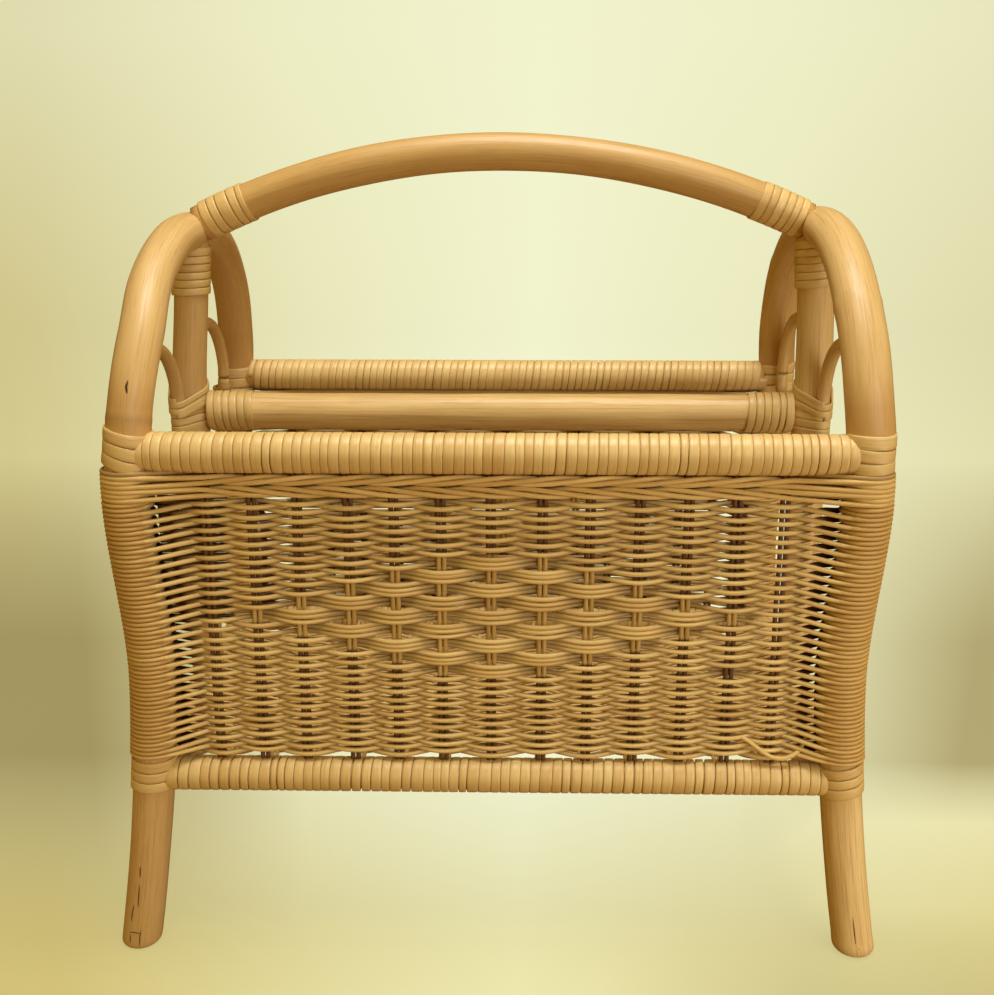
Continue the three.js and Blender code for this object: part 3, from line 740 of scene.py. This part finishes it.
stake_foot, stake_head = 121.8, 290.3
weaver_lift, lining_out = 1.62, -over_out - 2.7
tail_from, tail_to, tail_climb = -184.0, -146.0, 0.4
tail_heights = np.arange(203.0, 275.0, 2.75)
loose_loop = [(132, -3.0, 137.0), (138, 1.0, 138.4), (142.5, 4.0, 136.6), (147, 5.0, 133.0),
              (154, 5.4, 127.6), (160.5, 5.4, 126.0), (166.5, 5.2, 127.6), (171, 4.2, 131.0),
              (174, 1.0, 134.4), (176, -4.0, 136)]
# Painted shade round each strand where the rows touch, strongest at its underside.
groove_shade = np.array([0.10, 0.0, 0.0, 0.12, 0.42, 0.12, 0.0, 0.0])
for position, face in faces:
    random = default_rng(11 if face < 0 else 12)
    line, owner = weave(row_count, wall_row_height, in_front, post_centre_at,
                        post_radius + weaver_lift, wrap_foot, wrap_pitch, random)
    tints = random.normal(0, 0.45, row_count + 2)
    tint = np.interp(owner, np.arange(row_count + 2), tints) + 0.25 * np.sin(along(line) / 90)
    # Inside is 0 on the posts and 1 in the wall. Beside is 1 next to a post, behind its reeds.
    from_post = post_centre_at(line[:, 2]) - np.abs(line[:, 0])
    inside = ease((from_post - post_radius + 2.5) / 2)
    tint = tint + 0.95 - 1.6 * inside
    # Painted shade: darker as the reed goes back behind the stakes, and darker still beside the
    # posts.
    depth = inside * (0.04 + 0.46 * ease((over_out - line[:, 1]) / (2 * over_out)))
    beside = inside * ease((26 - from_post) / 6) * (line[:, 1] < 1)
    wider = (wall_reed_radius - reed_radius) * ease((183 - np.abs(line[:, 0])) / 6)
    thick = reed_radius + wider + 0.35 * beside
    depth = np.clip((depth + 0.5 * beside)[:, None] + groove_shade, 0, 1)
    skin = Skin()
    reed(skin, place_wall(line, face), random, radius=thick, tint=tint, shade=depth)
    if face < 0:
        loose = soften(resample(np.array(loose_loop), 1.2), 3)
        reed(skin, place_wall(loose, face), random, tint=-0.2)
        # Ends of reed behind the wall beside the left post, painted dark as shade.
        for height in tail_heights:
            tail = straight((tail_from, lining_out, height),
                            (tail_to, lining_out, height + tail_climb))
            reed(skin, place_wall(tail, face), random, tint=0.8, sides=6, shade=0.8)
    skin.make(f"{position}_weaver", reed_finish, "reed", f"{position}_weave")
    skin = Skin()
    for stake, place in zip(stakes, stake_places):
        for half in (-1, 1):
            heights = np.linspace(stake_foot, stake_head, 110)
            bow = 0.12 * np.sin(heights / 9 + stake)
            line = columns(place + half * stake_apart + bow, 0 * heights, heights)
            reed(skin, place_wall(line, face), random, (0, 1, 0), stake_radius,
                 random.normal(0.2, 0.3), shade=gap_shade(stake, heights))
    skin.make(f"{position}_stake_reeds", shaded_stake_finish, "reed", f"{position}_stakes")
print("both walls are woven")

# %% [markdown]
# ## The border under the rim
# Two rounds of three-rod waling close the weave. Each rod passes in front of two pairs of stakes
# and behind the third, a pair later than its neighbour. The upper round climbs to the right and
# the lower one falls, so the two together look like a plait.

# %% The waling
wale_radius, wale_knot, wale_lift = 1.4, 0.6, 1.6
# Each round: the heights that its rods rise or fall between, and the heights of their ends.
wales = ((284.7, 287.8, (284.4, 286.9, 289.4)), (281.5, 278.0, (281.9, 279.4, 276.9)))
hidden_end = 291.6
lining_heights = (289.3, 286.7, 284.1, 281.5, 278.9, 276.3)


def wale_rod(order, first, second):
    """One rod of a round of waling, from post to post in the wall's own directions."""
    mean, lift = (first + second) / 2, math.copysign(wale_knot, second - first)
    at_stake = ((over_out, first), (over_out, second), (-over_out, mean))
    between = ((1.08 * over_out, mean), (0.0, second + lift), (0.0, first - lift))
    rod = []
    for k, stake in enumerate(stakes):
        phase = (stake - order) % 3
        rod.append((stake_places[k], *at_stake[phase]))
        if stake != stakes[-1]:
            rod.append(((stake_places[k] + stake_places[k + 1]) / 2, *between[phase]))
    return rod


def post_end(side, w, start, sweep):
    """The end of a rod led round a post, from where it meets the post away from the wall."""
    angle = np.radians(np.linspace(start, start + sweep, 24))
    radius = post_radius + wale_lift
    u = side * (float(post_centre_at(w)) - radius * np.cos(angle))
    return columns(u, radius * np.sin(angle), w + 0 * angle)


def rod_line(rod, end, start, sweep=190):
    """Leads both ends of a rod round the posts, at this height and from this angle."""
    left, right = (post_end(side, end, start, sweep) for side in (-1, 1))
    return soften(resample(np.concatenate([left[::-1], rod, right]), 1.5), 3)


for position, face in faces:
    random = default_rng(21 if face < 0 else 22)
    skin = Skin()
    for first, second, ends in wales:
        for order, end in enumerate(ends):
            start = 20 if order == 1 else leave_angle
            line = rod_line(wale_rod(order, first, second), end, start)
            tint = random.normal(0, 0.35)
            reed(skin, place_wall(line, face), random, radius=wale_radius, tint=tint)
    # A rod hidden behind the stakes at the rim, painted darker as shade.
    hidden = [(place, -over_out, stake_head) for place in stake_places]
    line = rod_line(hidden, hidden_end, leave_angle)
    reed(skin, place_wall(line, face), random, tint=0.5, shade=0.4)
    # Rods lining the inside of the border, painted darker as shade.
    for height in lining_heights:
        lining = [(place, lining_out, height) for place in stake_places]
        line = rod_line(lining, height, -leave_angle, -20)
        reed(skin, place_wall(line, face), random, tint=0.3, shade=0.35)
    skin.make(f"{position}_waling", reed_finish, "reed", f"{position}_stakes")

# %% [markdown]
# ## The woven bottom
# The bottom is woven in the same way between the two stretchers, in plain weave. It lies level,
# so the wall's directions become across, down and towards the back.

# %% The bottom
bottom_rows, bottom_pitch, bottom_start = 64, 2.95, -93.0
bottom_closeness = 0.985
bottom_wrap = bottom_rail_radius + 1.55
bottom_stake_reach = 112.5


def place_bottom(points):
    u, v, w = points.T
    return columns(u, w, bottom_rail_height - v)


def stretcher_centre_at(place):
    return stretcher_across + 0 * place


def bottom_row_place(row, stake):
    return bottom_start + 1 + bottom_pitch * row * bottom_closeness


random = default_rng(31)
line, owner = weave(bottom_rows, bottom_row_place, plain_weave, stretcher_centre_at,
                    bottom_wrap, bottom_start, bottom_pitch, random, 0.2)
tint = np.interp(owner, np.arange(bottom_rows + 2), random.normal(0.2, 0.45, bottom_rows + 2))
skin = Skin()
reed(skin, place_bottom(line), random, (0, 1, 0), tint=tint, sides=6)
skin.make("bottom_weaver", reed_finish, "reed", "bottom_weave")
skin = Skin()
for place in stake_places:
    for half in (-1, 1):
        across = place + half * stake_apart
        ends = [(across, end * bottom_stake_reach, bottom_rail_height) for end in (-1, 1)]
        reed(skin, straight(*ends, 6), random, (1, 0, 0), stake_radius,
             random.normal(0.3, 0.3), 6)
skin.make("bottom_stake_reeds", reed_finish, "reed", "bottom_stakes")

# %% [markdown]
# ## Cane wound round the rails and the joints
# Flat cane is the split skin of the plant, about five millimetres wide, domed outside and flat
# inside. One unbroken strip goes round a pole. Its turns differ a little in width, and in places
# the pole shows dark between two of them, so the places of the turns are drawn first.

# %% One strip wound round a line
cane_thickness, wide_gap = 1.25, 0.7
section_across = np.array([-0.47, 0.47, 0.5, 0.49, 0.43, 0.22, 0.0, -0.22, -0.43, -0.49, -0.5])
section_out = np.array([0.0, 0.0, 0.5, 0.76, 0.92, 0.99, 1.0, 0.99, 0.92, 0.76, 0.5])


def turn_places(random, start, end, pitch, unevenness, gap, wide_gaps):
    """Where the middle of each turn lies, and how wide the strip is there. Wide_gaps is the
    share of the turns that leave a wide gap."""
    count = max(1, int(round(abs(end - start) / pitch)))
    share = 1 + unevenness * random.normal(0, 1, count).clip(-1.8, 1.8)
    edges = start + (end - start) * np.concatenate([[0], np.cumsum(share)]) / share.sum()
    gaps = gap * random.uniform(0.5, 1.4, count) + (random.random(count) < wide_gaps) * wide_gap
    return (edges[1:] + edges[:-1]) / 2, np.abs(np.diff(edges)) - gaps


def lay_strip(skin, centre, outward, ahead, width, out, walked, tints):
    """Lays one strip of cane. At each centre its section looks outward and is as wide ahead."""
    across = width[:, None] * section_across
    rings = centre[:, None] + outward[:, None] * out[:, None] + ahead[:, None] * across[..., None]
    grain = np.stack(np.broadcast_arrays(across, out, walked[:, None]), axis=-1)
    travel = np.gradient(rings.mean(axis=1), axis=0) * np.cross(outward, ahead)
    order = slice(None, None, -1) if travel.sum() > 0 else slice(None)
    skin.add(rings[:, order], grain[:, order], tints)


def wind(name, node, axis, turns, core, random, start_angle=180, steps=32, slant=0.0,
         thickness=cane_thickness, lift=0.15):
    """Makes a piece of one strip. Axis gives the centre, the direction along it and the side
    direction at a place on it, and turns are the numbers that turn_places takes."""
    places, widths = turn_places(random, *turns)
    count = len(places)
    middles = np.arange(count) + 0.5
    turned = np.arange(count * steps + 1) / steps
    first = places[0] - (places[1] - places[0]) / 2
    last = places[-1] + (places[-1] - places[-2]) / 2
    at = np.interp(turned, np.r_[0, middles, count], np.r_[first, places, last])
    width = np.interp(turned, middles, widths)
    tints = np.interp(turned, middles, random.normal(0, 0.28, count))
    angle = math.radians(start_angle) + full_turn * turned
    centre, ahead, side = axis(at + slant * np.sin(angle))
    up = np.cross(ahead, side)
    outward = side * np.cos(angle)[:, None] + up * np.sin(angle)[:, None]
    walked = angle * (core + 1) + random.uniform(0, 5000)
    skin = Skin()
    lay_strip(skin, centre, outward, ahead, width, core + lift + thickness * section_out, walked,
              tints)
    skin.make(name, cane_finish, "cane", node)


def axis_of(point_at, face=-1):
    """A line given by its point at a place across or a height. Its side direction is level."""
    def axis(at):
        ahead = unit(point_at(at + 0.5) - point_at(at - 0.5))
        return point_at(at), ahead, np.ones((len(at), 1)) * (0, face, 0)
    return axis


def level_axis(y, z, face=-1):
    return axis_of(lambda at: columns(at, y + 0 * at, z + 0 * at), face)


print("corners in a strip's section:", len(section_across))

# %% Cane on the four outer rails
# Each row is start, end, pitch, unevenness, gap and share of wide gaps.
rail_turns = {"front_top": (190.0, -190.0, 5.3, 0.15, 0.16, 0.08),
              "front_bottom": (187.5, -187.5, 5.6, 0.15, 0.16, 0.3),
              "back_top": (187.5, -181.0, 5.3, 0.15, 0.1, 0.18),
              "back_bottom": (187.5, -187.5, 5.6, 0.15, 0.1, 0.3)}
for position, face in faces:
    for level_name, height, radius in rails:
        random = default_rng(41 + 2 * (face > 0) + (level_name == "top"))
        turns = rail_turns[f"{position}_{level_name}"]
        rail = f"{position}_{level_name}_rail"
        axis = level_axis(face * post_half, height, face)
        wind(f"{rail}_winding", f"{rail}_cane", axis, turns, radius, random, steps=24, slant=0.5)

# %% Cane round the corner posts
corner_ends, corner_count = {"top": (292.6, 313.6), "bottom": (104.6, 123.6)}, 3
back_corner_drop, front_corner_slant = 4.5, {-1: -3.3, 1: -1.5}


def post_axis(side, face):
    def point_at(height):
        share = np.clip((height - shoulder_height) / arch_rise, 0, 1)
        place = face * post_half * np.sqrt(1 - share**2)
        across = side * (frame_half + sway_at(height, side, rear_share(place)))
        return columns(across, place, height)
    return axis_of(point_at, face)


for hand, side in hands:
    for position, face in faces:
        for level_name, (low, high) in corner_ends.items():
            top, front = level_name == "top", face < 0
            random = default_rng(51 + 4 * (side > 0) + 2 * (face > 0) + top)
            drop = back_corner_drop if top and not front else 0.0
            turns = (low - drop, high - drop, (high - low) / corner_count, 0.05, 0.45, 0)
            corner = f"{position}_{hand}_{level_name}_corner"
            wind(f"{corner}_winding", f"{corner}_cane", post_axis(side, face), turns, post_radius,
                 random, 180 if front else -90 * side,
                 slant=front_corner_slant[side] if top and front else 0.0, lift=0.3)

# %% Cane on the handle, the centre rail and the centre posts
joint_pitch, loose_turns, even_turns = 4.9, (0.2, 0.1, 0.15), (0.08, 0.35, 0.1)
handle_joint = {-1: (-176.5, -150.5), 1: (180.5, 153.5)}
post_joint = {-1: (371.5, 400.5), 1: (377.5, 406.5)}
for hand, side in hands:
    random = default_rng(61 + (side > 0))
    wind(f"handle_{hand}_winding", f"handle_{hand}_cane", axis_of(handle_point),
         (*handle_joint[side], joint_pitch, *loose_turns), handle_radius, random,
         slant=0.4 * side, thickness=0.8)
    wind(f"centre_rail_{hand}_winding", f"centre_rail_{hand}_cane",
         level_axis(0, centre_rail_height),
         (side * 182.0, side * 153.5, joint_pitch, *even_turns), centre_rail_radius, random)
    wind(f"{hand}_centre_post_winding", f"{hand}_centre_post_top_cane",
         axis_of(lambda height: centre_post_point(height, side)),
         (*post_joint[side], joint_pitch, *even_turns), centre_post_radii[side], random)

# %% [markdown]
# ## The ties of the curls
# At the foot of the curls a strip of cane binds the centre post and the two rods beside it. It
# follows the outline that a string pulled tight round all three would take. A second strip, laid
# aslant over the first, holds the rods where they part.

# %% The ties
tie_steps = 64
tie_half_width, tie_round = 18, 90


def string_round(circles, grow):
    """The outline of a string round circles, as places and outward directions."""
    angle = np.linspace(0, full_turn, 721)
    outward = columns(np.cos(angle), np.sin(angle))
    reach = np.array([[c * o[0] + d * o[1] + r for c, d, r in circles] for o in outward])
    best = np.array(circles)[reach.argmax(axis=1)]
    outline = best[:, :2] + outward * (best[:, 2] + grow)[:, None]
    walked = along(outline)
    places = np.linspace(0, walked[-1], tie_steps, endpoint=False)
    x, y, out_x, out_y = (np.interp(places, walked, v) for v in (*outline.T, *outward.T))
    return columns(x, y), unit(columns(out_x, out_y))


def tie(skin, side, circles, turns, random, slant=0.0, grow=0.1):
    places, widths = turn_places(random, *turns)
    outline, outward = string_round(circles, grow)
    count = len(places)
    step = np.arange(count * tie_steps + 1)
    turned = step / tie_steps
    width = np.interp(turned, np.arange(count) + 0.5, widths)
    spot, aside = outline[step % tie_steps], outward[step % tie_steps]
    at = np.interp(turned, np.arange(count) + 0.5, places) + slant * spot[:, 0] / tie_half_width
    out = columns(aside[:, 1], -aside[:, 0], 0 * at)
    centre = columns(side * frame_half + spot[:, 1], -spot[:, 0], at)
    walked = turned * tie_round + random.uniform(0, 5000)
    tints = np.r_[random.normal(0, 0.4, count).repeat(tie_steps), 0.0]
    lay_strip(skin, centre, out, np.array([[0, 0, 1.0]]), width, cane_thickness * section_out,
              walked, tints)


for hand, side in hands:
    random = default_rng(71 + (side > 0))
    circles = [(0.0, 0.0, centre_post_radius), (curl_inner, side * curl_aside, curl_radius),
               (-curl_inner, side * curl_aside, curl_radius)]
    skin = Skin()
    tie(skin, side, circles, (285.0, 305.0, 4.9, 0.08, 0.3, 0), random)
    tie(skin, side, circles, (304.5, 317.0, 4.3, 0.08, 0.3, 0), random, slant=-6.5, grow=0.9)
    skin.make(f"{hand}_tie", cane_finish, "cane", f"{hand}_curl_tie")

# %% [markdown]
# ## Floor, backdrop and light
# The basket stands on a pale yellow-green sheet that curves up behind it. A large lamp above and
# a softer one in front light it, and a small one near the floor brightens the right front foot.
# What the camera sees of the sheet is partly its own colour, so that the shadow on it stays faint.
# That colour carries painted shade: darker towards the sides and the front, at the front right
# corner, and in a band at each side of the basket.

# %% The sheet and the lamps
sheet_pale, sheet_edge_shade = colour(243, 247, 212), colour(216, 207, 148)
sheet_shade, sheet_bounce = colour(158, 146, 96), colour(152, 118, 50)
sheet_near_shade = colour(238, 230, 205)
sheet_front, sheet_back, sheet_bend, sheet_top, sheet_half = -3.0, 2.6, 1.2, 4.5, 4.5
glow_strength, glow_share = 1.14, 0.8
profile = [(y, 0.0) for y in np.linspace(sheet_front, sheet_back, 12)]
profile += [(sheet_back + sheet_bend * math.sin(a), sheet_bend - sheet_bend * math.cos(a))
            for a in np.linspace(0.1, math.pi / 2, 14)]
profile += [(sheet_back + sheet_bend, sheet_top)]
points = [(x, y, z) for y, z in profile for x in (-sheet_half, sheet_half)]
quads = [(2 * k, 2 * k + 1, 2 * k + 3, 2 * k + 2) for k in range(len(profile) - 1)]
sheet_mesh = bpy.data.meshes.new("backdrop_sheet")
sheet_mesh.from_pydata(points, [], quads)
sheet_mesh.shade_smooth()
sheet = new_object("backdrop_sheet", sheet_mesh)
sheet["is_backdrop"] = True

sheet_material, tree, shader = new_material("backdrop_sheet")


def reckon(kind, first, second=0.0):
    return add_node(tree, "Math", {0: first, 1: second}, operation=kind).outputs[0]


def times(first, second):
    return reckon("MULTIPLY", first, second)


# Fan is the place across as the camera sees it, and deep is the place towards the back.
place = add_node(tree, "NewGeometry").outputs["Position"]
across, deep, up = add_node(tree, "SeparateXYZ", {0: place}).outputs
fan_centre = 0.741
fan = reckon("DIVIDE", across, reckon("ADD", deep, fan_centre))
aside = reckon("ABSOLUTE", reckon("ADD", fan, -0.02))
edge = times(spread(tree, aside, 0.0, 0.45), spread(tree, fan, -0.4, 0.4, 1.0, 0.6))
right_side = spread(tree, fan, 0.1, 0.3)
near_end = spread(tree, right_side, 0.0, 1.0, -0.16, 0.02)
near_side = spread(tree, deep, near_end, 0.11)
far_side = spread(tree, deep, 0.35, 1.1, 1.0, 0.12)
wall = spread(tree, up, 0.0, 0.9, 1.0, 0.45)
# Painted shade: a darker band at each side of the basket, and a darker corner at its front right.
band = times(times(near_side, far_side), spread(tree, aside, 0.20, 0.40))
band = times(band, spread(tree, fan, -0.3, 0.3, 1.0, 0.85))
corner_shade = times(right_side, spread(tree, deep, -0.08, -0.16, 0.0, 0.3))
band = reckon("MAXIMUM", band, corner_shade)
# Painted shade: darker towards the sides, less so up the curve, and darker towards the front.
softened = blend(tree, times(edge, wall), sheet_pale, sheet_edge_shade)
nearest = blend(tree, spread(tree, deep, 0.08, -0.12), softened, sheet_near_shade, "MULTIPLY")
sheet_colour = blend(tree, band, nearest, sheet_shade)
shader.inputs["Roughness"].default_value = 0.9
glow = add_node(tree, "Emission", {0: sheet_colour, 1: glow_strength}).outputs[0]
seen = add_node(tree, "LightPath").outputs["Is Camera Ray"]
lit = blend(tree, seen, sheet_bounce, sheet_colour)
tree.links.new(lit, shader.inputs["Base Color"])
glow_part = times(seen, glow_share)
both = add_node(tree, "MixShader", {0: glow_part, 1: shader.outputs[0], 2: glow})
tree.links.new(both.outputs[0], tree.nodes["Material Output"].inputs["Surface"])
sheet_mesh.materials.append(sheet_material)

world = scene.world = bpy.data.worlds.new("room")
world.use_nodes = True
tree = world.node_tree
seen = add_node(tree, "LightPath").outputs["Is Camera Ray"]
room_light = blend(tree, seen, colour(244, 204, 84), sheet_pale)
room_strength = spread(tree, seen, 0.0, 1.0, 0.42, 1.0)
background = tree.nodes["Background"]
tree.links.new(room_light, background.inputs["Color"])
tree.links.new(room_strength, background.inputs["Strength"])


def lamp(name, place, target, size, watts, tone):
    data = bpy.data.lights.new(name, "AREA")
    data.shape, data.size = "DISK", size
    data.energy, data.color = watts, tone
    made = new_object(name, data)
    made.location = place
    made.visible_camera = False
    made.rotation_euler = (Vector(target) - Vector(place)).to_track_quat("-Z", "Y").to_euler()


lamp("top_lamp", (0.15, -0.25, 1.9), (0, 0, 0.25), 0.9, 24, (0.98, 0.98, 0.92))
lamp("front_lamp", (0.9, -1.7, 0.9), (0, 0, 0.25), 1.2, 10.5, (0.98, 0.97, 0.9))
lamp("low_lamp", (0.56, -0.42, 0.07), (0.21, -0.12, 0.03), 0.2, 0.6, (1.0, 0.96, 0.86))
print("lamps:", [data.name for data in bpy.data.lights])

# %% Write the sizes and finish
low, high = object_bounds()
print("visual box in metres:", [round(x, 3) for x in (*low, *high)])
